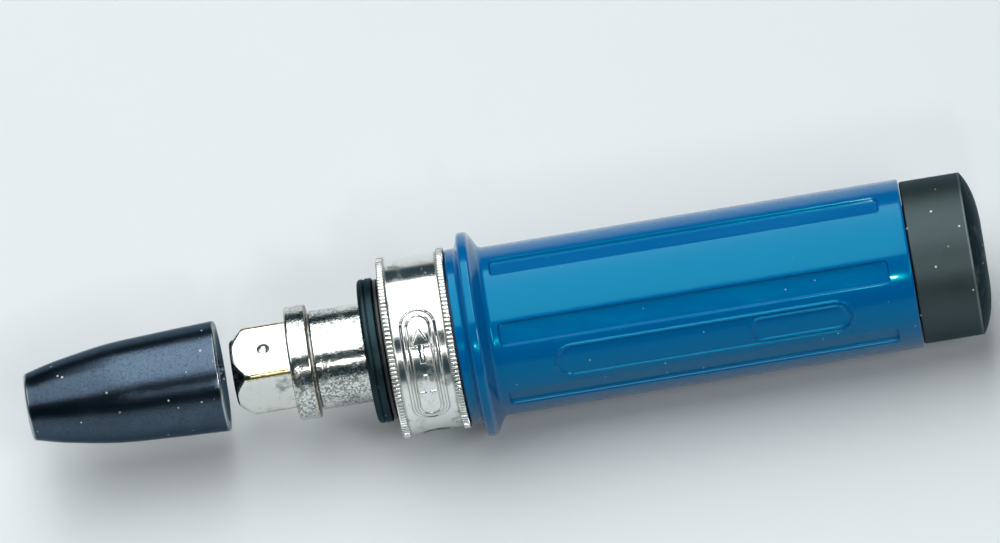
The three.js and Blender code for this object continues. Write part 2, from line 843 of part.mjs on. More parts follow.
addPiece(tool, 'cam_sleeve', camSleeve(), 0x8b8e90, 0.35, 1);
addPiece(tool, 'spindle', spindle(), 0xd4d7d6, 0.15, 1);
addPiece(tool, 'cross_pin', crossPin(), 0x9a9da0, 0.3, 1);
addPiece(tool, 'drive_detent_ball', detentBall(), 0xb9bcbd, 0.2, 1);
addPiece(tool, 'drive_detent_spring', detentSpring(), 0x8c8f91, 0.4, 1);
addPiece(holder, 'bit_holder', bitHolder(), 0x1b2023, 0.35, 0.8);
addPiece(holder, 'bit_retaining_ring', bitRing(), 0x8c8f91, 0.4, 1);

export default model;
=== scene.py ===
import math

import bmesh
import bpy
import numpy as np
from mathutils import Matrix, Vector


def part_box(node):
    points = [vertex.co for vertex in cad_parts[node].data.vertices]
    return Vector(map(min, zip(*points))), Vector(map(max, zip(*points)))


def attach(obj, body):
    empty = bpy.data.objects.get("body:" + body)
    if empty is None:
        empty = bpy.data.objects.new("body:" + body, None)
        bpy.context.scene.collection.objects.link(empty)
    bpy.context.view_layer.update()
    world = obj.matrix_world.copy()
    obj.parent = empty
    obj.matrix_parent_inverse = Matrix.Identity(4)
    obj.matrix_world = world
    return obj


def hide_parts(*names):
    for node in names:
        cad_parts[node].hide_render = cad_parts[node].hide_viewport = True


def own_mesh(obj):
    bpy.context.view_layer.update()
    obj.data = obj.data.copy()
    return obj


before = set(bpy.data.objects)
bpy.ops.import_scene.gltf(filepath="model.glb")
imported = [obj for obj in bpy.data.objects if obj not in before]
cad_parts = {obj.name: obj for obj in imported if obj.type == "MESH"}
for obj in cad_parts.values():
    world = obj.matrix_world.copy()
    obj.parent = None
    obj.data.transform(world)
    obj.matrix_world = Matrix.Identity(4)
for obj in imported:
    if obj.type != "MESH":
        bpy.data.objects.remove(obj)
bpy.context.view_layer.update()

# Barrel: the seamless steel tube that carries every other piece, turned and bored in two
# steps. The grip is pushed over it, the nut and the cap close its ends, and it stays hidden
# but for the narrow gap ahead of the collar.

mm = 0.001
axis_height = 19.8
drive_tip = -52.65
# Every station and radius below is in millimetres from this point of the tool's axis.
middle = (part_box("spindle")[0].x / mm - drive_tip, 0, axis_height)


def linear(red, green, blue):
    """Colour on the 0 to 255 scale of a screen as the light it stands for: the sRGB curve undone."""
    share = np.array([red, green, blue]) / 255
    return tuple(np.where(share <= 0.04045, share / 12.92, ((share + 0.055) / 1.055) ** 2.4))


def shade(colour, share):
    """The colour times a share: darker below 1, lighter above it."""
    return tuple(share * part for part in colour)


class Signal:
    """One output of a node. Python's operators on it add Math nodes."""

    def __init__(self, finish, socket):
        self.finish = finish
        self.socket = socket

    def maths(self, operation, *values):
        return self.finish.node("Math", {"operation": operation}, dict(enumerate(values)))

    def __add__(self, other):
        return self.maths("ADD", self, other)

    __radd__ = __add__

    def __sub__(self, other):
        return self.maths("SUBTRACT", self, other)

    def __rsub__(self, other):
        return self.maths("SUBTRACT", other, self)

    def __mul__(self, other):
        return self.maths("MULTIPLY", self, other)

    __rmul__ = __mul__

    def __abs__(self):
        return self.maths("ABSOLUTE", self)

    def root(self):
        return self.maths("SQRT", self)

    def most(self, other):
        return self.maths("MAXIMUM", self, other)

    def rise(self, low, high):
        """Smooth step: 0 below low, 1 above high; the other way round where low is the larger."""
        return self.finish.node("MapRange", {"interpolation_type": "SMOOTHSTEP"}, {
            "Value": self, "From Min": low, "From Max": high})


class Finish:
    """A procedural material. node() adds a node and gives one of its outputs as a Signal."""

    def __init__(self, name, made_for=None):
        self.material = made_for or bpy.data.materials.new(name)
        self.material.use_nodes = True
        self.tree = self.material.node_tree
        self.tree.nodes.clear()
        self.spot = self.node("Mapping", {}, {
            "Vector": self.node("TexCoord", {}, {}, "Object"),
            "Location": (-middle[0], 0, -axis_height), "Scale": (1 / mm, 1 / mm, 1 / mm)})

    def node(self, kind, settings, sockets, output=0):
        made = self.tree.nodes.new("ShaderNode" + kind)
        for name, value in settings.items():
            setattr(made, name, value)
        for name, value in sockets.items():
            if isinstance(value, Signal):
                self.tree.links.new(value.socket, made.inputs[name])
            elif isinstance(value, tuple) and made.inputs[name].type == "RGBA":
                made.inputs[name].default_value = (*value, 1)
            else:
                made.inputs[name].default_value = value
        return Signal(self, made.outputs[output])

    def along(self, part):
        """Millimetres along X, Y or Z from the middle of the tool's axis."""
        return self.node("SeparateXYZ", {}, {0: self.spot}, part)

    def length_of(self, vector):
        return self.node("VectorMath", {"operation": "LENGTH"}, {0: vector}, "Value")

    def off_axis(self):
        """Millimetres from the tool's axis."""
        return self.length_of(self.stretched(0, 1, 1))

    def stretched(self, x, y, z):
        return self.node("VectorMath", {"operation": "MULTIPLY"}, {0: self.spot, 1: (x, y, z)})

    def noise(self, size, detail=4.0, rough=0.55, where=None):
        """Fractal noise from 0 to 1 whose lumps are about size millimetres wide."""
        return self.node("TexNoise", {}, {
            "Vector": where or self.spot, "Scale": 1 / size, "Detail": detail, "Roughness": rough})

    def turning_lines(self, size, across, detail=2.0, rough=0.5):
        """Noise as fine along X as size, and drawn out round the axis: across is the share of
        its fineness that is left there."""
        return self.noise(size, detail, rough, self.stretched(1, across, across))

    def specks(self, size, reach):
        """Small round specks, at the middles of random cells size millimetres wide."""
        cells = self.node("TexVoronoi", {}, {"Vector": self.spot, "Scale": 1 / size}, "Distance")
        return cells.rise(reach, reach * 0.4)

    def mixed(self, mask, low, high):
        """The colour low where the mask is 0 and high where it is 1."""
        return self.node("Mix", {"data_type": "RGBA"}, {0: mask, 6: low, 7: high}, 2)

    def close(self, kind, shader):
        """Links the shader to an output node of that kind, and gives back what it closes."""
        output = self.tree.nodes.new("ShaderNodeOutput" + kind)
        self.tree.links.new(shader.socket, output.inputs["Surface"])
        return self.material

    def done(self, sockets, height):
        """Closes the material. height is the relief of the surface in millimetres."""
        sockets["Normal"] = self.node("Bump", {}, {
            "Height": height, "Strength": 1.0, "Distance": mm})
        return self.close("Material", self.node("BsdfPrincipled", {}, sockets))


def machined_steel(name, colour, roughness):
    """Bare machined steel: fine turning lines round the axis, oil stains and dull patches."""
    steel = Finish(name)
    lines = steel.turning_lines(0.16, 0.02)
    stain = steel.noise(5, 5.0, 0.6)
    oily = stain.rise(0.45, 0.62)
    return steel.done({
        "Base Color": steel.mixed(oily * 0.7, colour, shade(colour, 0.55)),
        "Metallic": 1.0,
        "Roughness": roughness + 0.18 * stain - 0.08 * oily + 0.05 * lines,
    }, 0.012 * lines + 0.01 * stain)


def refinish(node, material):
    """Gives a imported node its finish."""
    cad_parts[node].data.materials.clear()
    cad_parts[node].data.materials.append(material)


refinish("barrel", machined_steel("barrel_steel", linear(120, 122, 124), 0.36))

# Spring follower: a turned steel cup between the spindle and the main spring. It isn't
# fixed; the spring holds it against the spindle's rear end.

refinish("spring_follower", machined_steel("follower_steel", linear(150, 152, 154), 0.3))

# Main spring: oil-hardened steel wire, wound with its last turns closed and ground flat. It
# sits loose in the barrel between the follower and the cap, and shortens with each blow.

spring_front, spring_rear = (corner.x / mm - middle[0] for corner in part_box("main_spring"))
spring_wire = 1.6
spring_mean = 9.5
spring_turns = 9.0


def added(name, data):
    """New object in the scene for a mesh, a lamp or a camera."""
    piece = bpy.data.objects.new(name, data)
    bpy.context.scene.collection.objects.link(piece)
    return piece


def skin(name, points, looped):
    """Mesh over a grid of points in millimetres from the tool's axis: columns run round and
    meet again, rows follow each other, and the last row meets the first where it is looped.
    A row that has shrunk to one point closes the surface there."""
    rows, columns = points.shape[:2]
    index = np.arange(rows * columns).reshape(rows, columns)
    after = np.roll(index, -1, 0)
    if not looped:
        index, after = index[:-1], after[:-1]
    faces = np.stack([index, np.roll(index, -1, 1), np.roll(after, -1, 1), after], -1)
    mesh = bpy.data.meshes.new(name)
    mesh.from_pydata(((points.reshape(-1, 3) + middle) * mm).tolist(), [],
                     faces.reshape(-1, 4).tolist())
    piece = added(name, mesh)
    smoothed(piece)
    return piece


def smoothed(piece, crease=32, least=1e-7):
    """Merges points that lie on each other and shades the surface smooth up to the creases."""
    form = bmesh.new()
    form.from_mesh(piece.data)
    bmesh.ops.remove_doubles(form, verts=form.verts, dist=least)
    bmesh.ops.dissolve_degenerate(form, edges=form.edges, dist=least)
    form.to_mesh(piece.data)
    form.free()
    piece.data.shade_smooth()
    piece.data.set_sharp_from_angle(angle=math.radians(crease))


def wire(path, radius, sides=12):
    """Round wire: a circle of that radius carried along the path, square to it, with flat ends."""
    tangent = np.gradient(path, axis=0)
    tangent /= np.linalg.norm(tangent, axis=1, keepdims=True)
    outward = path - path.mean(0)
    outward -= tangent * (outward * tangent).sum(1, keepdims=True)
    outward /= np.linalg.norm(outward, axis=1, keepdims=True)
    across = np.cross(tangent, outward)
    turn = np.linspace(0, 2 * np.pi, sides, endpoint=False)[None, :, None]
    rings = path[:, None] + radius * (
        np.cos(turn) * outward[:, None] + np.sin(turn) * across[:, None])
    start = np.repeat(path[:1, None], sides, 1)
    end = np.repeat(path[-1:, None], sides, 1)
    return np.concatenate([start, rings, end])


def coil(front, rear, mean, wire_radius, turns, steps=28):
    """Middle line of a coil spring along X, a circle of the mean radius that moves on by the
    sum of its pitch. The first and last turn lie closed, the pitch is even between them, and
    it changes over half a turn."""
    turned_by = np.linspace(0, 1, int(turns * steps) + 1) * turns
    length = rear - front - 2 * wire_radius
    closed_pitch = 2.1 * wire_radius
    open_pitch = (length - 2 * closed_pitch) / (turns - 2)
    in_end_turn = (turned_by < 1) | (turned_by > turns - 1)
    pitch = np.where(in_end_turn, closed_pitch, open_pitch)
    blend = steps // 4
    pitch = np.convolve(np.pad(pitch, blend, mode="edge"), np.ones(2 * blend + 1), "valid")
    place = np.concatenate([[0], np.cumsum((pitch[1:] + pitch[:-1]) / 2)])
    x = front + wire_radius + length * place / place[-1]
    angle = turned_by * 2 * np.pi
    return np.stack([x, mean * np.sin(angle), mean * np.cos(angle)], 1)


def shown(piece, body, material, node):
    """The piece takes its finish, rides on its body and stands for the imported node."""
    piece.data.materials.clear()
    piece.data.materials.append(material)
    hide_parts(node)
    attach(piece, body)


spring = skin("coiled_main_spring", wire(
    coil(spring_front, spring_rear, spring_mean, spring_wire, spring_turns), spring_wire), False)
shown(spring, "handle",
      machined_steel("spring_wire_steel", linear(104, 106, 110), 0.34), "main_spring")
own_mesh(spring)

# Cam sleeve and cross pin: the hardened sleeve has two triangular windows, and the pin that
# stands through the spindle slides along their slopes. A blow drives the pin down a slope,
# and that turns the spindle.

refinish("cam_sleeve", machined_steel("sleeve_steel", linear(158, 160, 160), 0.28))
refinish("cross_pin", machined_steel("pin_steel", linear(172, 174, 176), 0.22))

# Spindle: turned and milled steel, chromed all over, with a half-inch square and a ring that
# stops the bit holder. It slides and turns in the front nut.

square_half = 6.35
square_corner = 8.43
square_front, square_rear = drive_tip, -41.35
square_blend = 0.25
tip_cone = 2.7
tip_edge, tip_edge_depth = 0.7, 0.35
ring_front, ring_rear = square_rear, -37.15
ring_radius = 11.05
ring_edge = 0.7
undercut_rear = -36.55
undercut_radius = 9.1
spindle_radius = 9.6
spindle_rear = 9.75
pin_station = -7.35
pin_angle = math.radians(20)
pin_hole_radius, pin_hole_reach = 3.3, 13
ball_station = -46.1
ball_seat = -1.6
ball_hole = 2.45
ball_lip = 1.25
flat_until, corner_until = 41, 49
chrome_light = linear(226, 229, 226)
chrome_dark = linear(120, 132, 122)
chrome_worn = linear(206, 196, 150)
chrome_rubbed = linear(190, 170, 96)
chrome_scuffed = linear(56, 70, 68)
chrome_pitted = linear(60, 62, 58)
chrome_grimy = linear(66, 68, 58)


def outline(corners, steps=5, least=1e-5):
    """Outline through corners given as (x, radius, rounding). Each corner gives way to a curve
    between the points of its legs a rounding away: with s the share of the way, the first times
    (1 - s) squared, the corner times 2 s (1 - s) and the second times s squared, added up. Of
    points nearer to each other than least, the first stays."""
    corners = np.array(corners, float)
    corner, reach = corners[:, :2], corners[:, 2:]
    back = np.roll(corner, 1, 0) - corner
    on = np.roll(corner, -1, 0) - corner
    back /= np.maximum(np.linalg.norm(back, axis=1, keepdims=True), 1e-9)
    on /= np.maximum(np.linalg.norm(on, axis=1, keepdims=True), 1e-9)
    share = np.linspace(0, 1, steps + 1)[None, :, None]
    start = (corner + back * reach)[:, None]
    end = (corner + on * reach)[:, None]
    curves = (1 - share) ** 2 * start + 2 * share * (1 - share) * corner[:, None] + share ** 2 * end
    points = curves.reshape(-1, 2)
    apart = np.linalg.norm(np.diff(points, axis=0, prepend=points[:1] - 1), axis=1) > least
    return points[apart]


def divided(points, longest):
    """The same outline with points added wherever two are further apart than the longest step.
    None is added within 0.15 of that step behind another."""
    along = np.concatenate([[0], np.cumsum(np.linalg.norm(np.diff(points, axis=0), axis=1))])
    own = np.round(along, 5)
    wanted = np.union1d(own, np.round(np.arange(0, along[-1], longest), 5))
    near = np.diff(wanted, prepend=-1) < longest * 0.15
    wanted = wanted[~near | np.isin(wanted, own)]
    return np.stack([np.interp(wanted, along, part) for part in points.T], 1)


def turned(points, angles, radius=None):
    """Turned surface: the point (x, r) of the outline goes round the axis at distance r, or at
    the distance that the radius grid gives for that point and angle."""
    x, r = points.T
    radius = np.broadcast_to(r[:, None] if radius is None else radius, (len(x), len(angles)))
    return np.stack([np.broadcast_to(x[:, None], radius.shape),
                     -radius * np.sin(angles), radius * np.cos(angles)], -1)


def round_angles(columns):
    """Angles of that many columns, evenly round the axis."""
    return np.linspace(0, 2 * np.pi, columns, endpoint=False)


def prism(half, sides, angles, turn=0.0):
    """Distance from the axis to the wall of a regular prism: half its width across the flats
    over the cosine of the angle to the nearest flat's middle."""
    step = 2 * np.pi / sides
    return half / np.cos((angles - turn + step / 2) % step - step / 2)


def lesser(a, b, blend):
    """The smaller of two lengths. Where they differ by less than the blend, it is both mixed by
    shares, less the blend times the two shares, which rounds the edge where they cross."""
    share = np.clip(0.5 + 0.5 * (b - a) / blend, 0, 1)
    return b * (1 - share) + a * share - blend * share * (1 - share)


def standing(points, station, angle):
    """Turns a shape made along X so that it stands on the axis at a station and an angle."""
    x, y, z = np.moveaxis(points, -1, 0)
    return np.stack([station - z, y * np.cos(angle) - x * np.sin(angle),
                     y * np.sin(angle) + x * np.cos(angle)], -1)


def rod(start, end, radius, columns=48):
    """Plain round bar along X, for a drilled hole."""
    return turned(np.array([(start, 0), (start, radius), (end, radius), (end, 0)], float),
                  round_angles(columns))


def drilled(piece, *holes):
    """Takes holes, given as grids of points, out of the piece with Blender's exact cut."""
    tools = [skin(f"hole_{i}", hole, False) for i, hole in enumerate(holes)]
    for tool in tools:
        cut = piece.modifiers.new(tool.name, "BOOLEAN")
        cut.operation, cut.solver, cut.object = "DIFFERENCE", "EXACT", tool
    graph = bpy.context.evaluated_depsgraph_get()
    cut_mesh = bpy.data.meshes.new_from_object(piece.evaluated_get(graph))
    piece.modifiers.clear()
    piece.data = cut_mesh
    for tool in tools:
        bpy.data.objects.remove(tool)
    smoothed(piece)


def chrome(plate, stained, rubbed, grimy, scuffed=0.0):
    """Bright chrome plate over turned steel: fine lines round the axis, cloudy green-grey
    staining, small pits, yellow-white wear in patches and on rubbed edges, dark grime in the
    corners, and a fine dark stipple where it is scuffed."""
    lines = plate.turning_lines(0.22, 0.03, 3.0, 0.6)
    cloud = plate.noise(3.2, 6.0, 0.62)
    fine = plate.noise(0.7, 3.0, 0.6)
    patch = plate.noise(9, 3.0, 0.5)
    stipple = plate.noise(0.45, 3.0, 0.65)
    scuffed = scuffed * patch.rise(0.36, 0.48)
    stain = cloud.rise(0.5, 0.66) * patch.rise(0.4, 0.6) * stained
    pits = plate.specks(1.7, 0.09)
    worn = patch.rise(0.6, 0.42) * fine.rise(0.5, 0.7) * 0.25
    colour = plate.mixed(stain * 0.75, chrome_light, chrome_dark)
    colour = plate.mixed(worn, colour, chrome_worn)
    colour = plate.mixed(scuffed * stipple.rise(0.42, 0.58) * 0.75, colour, chrome_scuffed)
    colour = plate.mixed(pits * 0.6, colour, chrome_pitted)
    colour = plate.mixed(rubbed * (0.35 + 0.65 * fine.rise(0.4, 0.6)), colour, chrome_rubbed)
    colour = plate.mixed(grimy * (0.4 + 0.6 * cloud), colour, chrome_grimy)
    return plate.done({
        "Base Color": colour,
        "Metallic": 1.0,
        "Roughness": 0.08 + 0.12 * cloud + 0.22 * stain + 0.3 * pits + 0.3 * grimy,
    }, 0.006 * lines + 0.02 * cloud + 0.004 * fine - 0.02 * pits + 0.03 * scuffed * stipple)


# Columns lie closer over the corners of the square, 45 degrees off the middle of each flat.
quarter = np.concatenate([np.linspace(-flat_until, flat_until, 21)[:-1],
                          np.linspace(flat_until, corner_until, 9)[:-1]])
spindle_angles = np.sort(np.radians(quarter + 90 * np.arange(4)[:, None]).ravel() % (2 * np.pi))
square_side = prism(square_half, 4, spindle_angles)
tip_outline = divided(outline([
    (square_front, 0, 0), (square_front, square_half - 0.1, 0.5),
    (square_front + tip_cone, square_corner, 0.7), (square_rear, square_corner, 0)]), 0.6)
station, radius = tip_outline[:, :1], tip_outline[:, 1:]
edge_drop = tip_edge_depth * np.clip((square_front + tip_edge - station) / tip_edge, 0, 1) ** 2
tip_radius = np.minimum(lesser(square_side, radius, square_blend), square_side - edge_drop)
tip_radius = np.where(radius > 0, tip_radius, 0)
shaft_outline = divided(outline([
    (ring_front, ring_radius - ring_edge, 0), (ring_front, ring_radius, ring_edge),
    (ring_rear, ring_radius, 0.35), (ring_rear, undercut_radius, 0.2),
    (undercut_rear, undercut_radius, 0.2), (undercut_rear, spindle_radius, 0.25),
    (spindle_rear, spindle_radius, 0.8), (spindle_rear, 0, 0)]), 2.0)
shaft_radius = np.repeat(shaft_outline[:, 1:], len(spindle_angles), 1)
spindle = skin("chromed_spindle", turned(
    np.concatenate([tip_outline, shaft_outline]), spindle_angles,
    np.concatenate([tip_radius, shaft_radius])), False)
ball_cavity = np.array([
    (ball_seat, 0), (ball_seat, ball_hole), (square_half - 0.75, ball_hole),
    (square_half - 0.15, ball_lip + 0.17), (square_half - 0.05, ball_lip + 0.04),
    (square_half + 0.01, ball_lip), (square_half + 0.3, ball_lip + 0.2),
    (square_half + 2, ball_lip + 0.2), (square_half + 2, 0)], float)
drilled(spindle,
        standing(turned(ball_cavity, round_angles(48)), ball_station, 0.0),
        standing(rod(-pin_hole_reach, pin_hole_reach, pin_hole_radius), pin_station, pin_angle))
plate = Finish("spindle_chrome")
on_square = plate.along("X").rise(square_rear + 0.1, square_rear - 0.1)
behind_square = plate.along("X").rise(square_rear - 0.1, square_rear + 0.1)
square_edges = plate.off_axis().rise(square_corner - 0.35, square_corner - 0.1) * on_square
ring_half = (ring_rear - ring_front) / 2
ring_edges = plate.off_axis().rise(ring_radius - 0.3, ring_radius - 0.1) * (
    abs(plate.along("X") - (ring_front + ring_rear) / 2).rise(ring_half - 0.6, ring_half - 0.15))
under_ring = abs(plate.along("X") - (ring_rear + undercut_rear) / 2).rise(0.5, 0.3)
shown(spindle, "spindle",
      chrome(plate, 1.0, square_edges.most(0.6 * ring_edges), 0.7 * under_ring, behind_square),
      "spindle")

# Detent ball and its spring: a hardened steel ball in the upper flat of the square. The lip
# of its hole is closed in round it, and it clicks into the bit holder.

ball_height = 4.5
ball_radius = 2.2
ball_arc = np.linspace(-np.pi / 2, np.pi / 2, 25)
ball_outline = np.stack([ball_height + ball_radius * np.sin(ball_arc),
                         ball_radius * np.cos(ball_arc)], 1)
ball_outline[[0, -1], 1] = 0
ball = skin("detent_ball", standing(turned(ball_outline, round_angles(48)), ball_station, 0.0), False)
shown(ball, "detent_ball",
      machined_steel("hard_ball_steel", linear(196, 198, 200), 0.12), "drive_detent_ball")

ball_spring_foot = ball_seat + 0.25
ball_spring_length = 3.4
ball_spring_mean = 1.6
ball_spring_wire = 0.3
ball_spring_turns = 4.0
ball_coil = coil(ball_spring_foot, ball_spring_foot + ball_spring_length, ball_spring_mean,
                 ball_spring_wire, ball_spring_turns)
ball_spring = skin("detent_coil_spring", standing(
    wire(ball_coil, ball_spring_wire), ball_station, 0.0), False)
shown(ball_spring, "spindle",
      machined_steel("small_spring_steel", linear(140, 142, 146), 0.3), "drive_detent_spring")
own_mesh(ball_spring)

# Front nut: black-oxide steel ring screwed into the barrel's mouth with a pin spanner. It
# closes the mechanism and is the spindle's front bearing.

nut_front, nut_flange_rear, nut_rear = -26.55, -23.65, -19.95
nut_radius = 14.0
nut_spigot = 12.2
nut_bore = 9.9
nut_line_front, nut_line_rear = -25.35, -25.0
nut_line_radius = nut_radius - 0.25
nut_groove_middle = (nut_front + nut_rear) / 2
nut_groove_front, nut_groove_rear = nut_groove_middle - 0.9, nut_groove_middle + 0.9
nut_groove_radius = 11.4
spanner_angles = [math.radians(35), math.radians(215)]
spanner_middle = (nut_bore + nut_radius) / 2
spanner_radius, spanner_depth, spanner_point = 1.0, 1.4, 1.9
oxide_grain = linear(18, 26, 30)
worn_rim_highlight = linear(196, 204, 204)
oxide_tint = (0.5, 0.55, 0.6)
pale_dust = linear(225, 230, 230)


def black_steel(oxide, colour, roughness, dusty, rim=0.0):
    """Black-oxide steel: an even dark skin, lighter where it is rubbed in clouds, with a darker
    grain, fine turning lines, rims painted light as worn steel and as a painted highlight, and some
    specks of pale dust."""
    lines = oxide.turning_lines(0.3, 0.04)
    bloom = oxide.noise(7, 5.0, 0.6)
    grain = oxide.noise(0.36, 4.0, 0.65)
    dust = oxide.specks(2.8, 0.1) * bloom.rise(0.38, 0.5) * dusty
    rubbed = bloom.rise(0.5, 0.7) * 0.5
    colour = oxide.mixed(rubbed, colour, shade(colour, 1.35))
    colour = oxide.mixed(grain.rise(0.48, 0.66) * 0.4, colour, oxide_grain)
    # Painted highlight on the rims, partly worn bare steel: the colour there is lightened.
    colour = oxide.mixed(rim * (0.5 + 0.5 * grain), colour, worn_rim_highlight)
    colour = oxide.mixed(dust, colour, pale_dust)
    return oxide.done({
        "Base Color": colour,
        "Metallic": 1.0 - dust,
        "Roughness": roughness + 0.14 * bloom + 0.07 * grain + 0.6 * dust,
        "Specular Tint": oxide_tint,
    }, 0.01 * lines + 0.03 * grain + 0.03 * bloom)


nut_outline = outline([
    (nut_front, nut_bore, 0.3), (nut_front, nut_radius, 0.9),
    (nut_line_front, nut_radius, 0.05), (nut_line_front + 0.1, nut_line_radius, 0.05),
    (nut_line_rear - 0.1, nut_line_radius, 0.05), (nut_line_rear, nut_radius, 0.05),
    (nut_flange_rear, nut_radius, 0.3), (nut_flange_rear, nut_spigot, 0),
    (nut_rear, nut_spigot, 0.4), (nut_rear, nut_bore, 0.3),
    (nut_groove_rear, nut_bore, 0), (nut_groove_rear, nut_groove_radius, 0),
    (nut_groove_front, nut_groove_radius, 0), (nut_groove_front, nut_bore, 0)])
nut = skin("pinned_front_nut", turned(divided(nut_outline, 1.5), round_angles(128)), True)
spanner_hole = turned(np.array([
    (nut_front - 1, 0), (nut_front - 1, spanner_radius), (nut_front + spanner_depth, spanner_radius),
    (nut_front + spanner_point, 0)], float), round_angles(32))
drilled(nut, *[
    spanner_hole + (0, -spanner_middle * math.sin(turn), spanner_middle * math.cos(turn))
    for turn in spanner_angles])
shown(nut, "handle",
      black_steel(Finish("nut_oxide"), linear(39, 56, 61), 0.3, 0.3), "front_nut")

# Front seal and the two O-rings: nitrile rubber, moulded. The flat seal lies between the nut
# and the barrel's end; the O-rings sit in grooves of the nut and of the collar.


def rubber(name):
    """Black rubber: satin, with a fine moulded grain and a grey bloom of grease and dust."""
    black = Finish(name)
    grain = black.noise(0.25, 4.0, 0.6)
    bloom = black.noise(3, 4.0, 0.6)
    return black.done({
        "Base Color": black.mixed(bloom.rise(0.45, 0.7) * 0.6, linear(12, 15, 17), linear(38, 43, 45)),
        "Roughness": 0.3 + 0.25 * bloom,
    }, 0.02 * grain)


seal_front, seal_rear = -23.45, -22.65
seal_bore, seal_radius = 12.5, 13.6
seal_outline = outline([(seal_front, seal_bore, 0.1), (seal_front, seal_radius, 0.25),
                        (seal_rear, seal_radius, 0.25), (seal_rear, seal_bore, 0.1)])
seal = skin("flat_front_seal", turned(seal_outline, round_angles(128)), True)
seal_rubber = rubber("seal_rubber_black")
shown(seal, "handle", seal_rubber, "front_seal")
refinish("spindle_o_ring", seal_rubber)
refinish("collar_o_ring", seal_rubber)

# Direction collar: a chromed steel ring with two finely knurled rims, turned by hand to
# choose the way the driver turns. A double frame stands on its band, with two plain arrows
# in it. Two screws key it to the sleeve inside.

collar_front, collar_rear = -22.15, -9.15
collar_bore = 14.6
band_radius = 17.05
rim_radius = 17.6
rim_width = 1.3
band_half = (collar_rear - collar_front) / 2 - rim_width
rim_teeth = 130
tooth_form = np.array([0.0, 0.04, 0.2, 0.9, 0.9, 0.2, 0.04])
tooth_depth = 0.42
collar_groove_front, collar_groove_rear = -20.87, -19.27
collar_groove_radius = 15.9
key_station = -15.65
key_angles = [math.radians(-57), math.radians(123)]
key_hole_radius = 2.8
key_hole_inner, key_hole_outer = 10, 20
frame_middle_angle = math.radians(53.9)
frame_length = 23.4
frame_width = 6.6
frame_inset = 2.2
frame_line = 0.42
frame_height = 0.2
arrow_start, arrow_length = 1.1, 7.2


def stadium(along, across, length, width):
    """Signed distance to the edge of a long shape with round ends, negative inside: the distance
    to its middle line less half its width."""
    half = (length - width) / 2
    return np.hypot(np.maximum(np.abs(along) - half, 0), across) - width / 2


def ridge(distance, width):
    """Height of a rounded ridge along the line where the distance is 0: one less the square of
    the distance over half the width, to the power 0.7, and 0 outside the width."""
    return np.clip(1 - (2 * distance / width) ** 2, 0, 1) ** 0.7


def arrow(along, across, start, length):
    """Arrow along the first direction, as a share of full height: a shaft 1 mm wide over 0.62 of
    its length, and a wedge over the second half. Both rise over 0.16 mm from their edge."""
    shaft = np.minimum(0.5 - np.abs(across), np.minimum(along - start, start + length * 0.62 - along))
    wedge_from = start + length * 0.5
    wedge = np.minimum((start + length - along) * 0.5 - np.abs(across), along - wedge_from)
    return np.clip(np.maximum(shaft, wedge) / 0.16, 0, 1)


def with_rows(points, rows, radius):
    """The outline with rows of that radius put into its longest step towards the rear."""
    start = np.argmax(np.diff(points[:, 0])) + 1
    between = np.stack([rows, np.full(len(rows), radius)], 1)
    return np.concatenate([points[:start], between, points[start:]])


collar_angles = round_angles(rim_teeth * len(tooth_form))
collar_outline = outline([
    (collar_front, collar_bore, 0.3), (collar_front, rim_radius, 0.25),
    (collar_front + rim_width, rim_radius, 0.2), (collar_front + rim_width + 0.1, band_radius, 0.15),
    (collar_rear - rim_width - 0.1, band_radius, 0.15), (collar_rear - rim_width, rim_radius, 0.2),
    (collar_rear, rim_radius, 0.25), (collar_rear, collar_bore, 0.3),
    (collar_groove_rear, collar_bore, 0), (collar_groove_rear, collar_groove_radius, 0),
    (collar_groove_front, collar_groove_radius, 0), (collar_groove_front, collar_bore, 0)], 3)
collar_outline = with_rows(collar_outline, np.linspace(
    collar_front + rim_width + 0.35, collar_rear - rim_width - 0.35, 62), band_radius)
station, radius = collar_outline[:, :1], collar_outline[:, 1:]
in_rim = np.clip((radius - band_radius - 0.05) / 0.3, 0, 1)
girth = (collar_angles - frame_middle_angle) * band_radius
side = station - key_station
relief = np.maximum(
    ridge(stadium(girth, side, frame_length, frame_width), frame_line),
    ridge(stadium(girth, side, frame_length - frame_inset, frame_width - frame_inset), frame_line))
for way in (1, -1):
    relief = np.maximum(relief, arrow(girth * way, side, arrow_start, arrow_length))
collar_radius = (radius - in_rim * tooth_depth * np.tile(tooth_form, rim_teeth)
                 + (radius == band_radius) * frame_height * relief)
collar = skin("knurled_direction_collar", turned(collar_outline, collar_angles, collar_radius), True)
key_hole = rod(key_hole_inner, key_hole_outer, key_hole_radius)
drilled(collar, *[standing(key_hole, key_station, turn) for turn in key_angles])


def round_place(finish, angle, radius):
    """Millimetres round a cylinder of that radius from the line at that angle."""
    left, up = -1 * finish.along("Y"), finish.along("Z")
    return (left.maths("ARCTAN2", left, up) - angle) * radius


def beside_frame(along, across, length, width, reach=0.3):
    """1 in the two narrow strips on both sides of a stadium's edge, where dirt collects. The
    distance to that edge is worked out as in stadium()."""
    over = (abs(along) - (length - width) / 2).most(0)
    distance = abs((over * over + across * across).root() - width / 2)
    return abs(distance - reach).rise(reach * 0.8, 0)


plate = Finish("collar_chrome")
girth = round_place(plate, frame_middle_angle, band_radius)
across = plate.along("X") - key_station
beside_frames = beside_frame(girth, across, frame_length, frame_width).most(
    beside_frame(girth, across, frame_length - frame_inset, frame_width - frame_inset))
rim_foot = abs(abs(across) - (band_half - 0.2)).rise(0.35, 0.1)
between_teeth = (plate.off_axis().rise(rim_radius - 0.15, rim_radius - 0.4)
                 * abs(across).rise(band_half, band_half + 0.1))
grime = (0.6 * beside_frames).most(0.5 * rim_foot).most(0.75 * between_teeth)
shown(collar, "collar", chrome(plate, 0.8, 0.0, grime), "direction_collar")

# Collar key screws: two hardened dog point screws with a hexagon socket. Their threads sit
# in the collar, and their dogs reach through the barrel's slots into the cam sleeve.

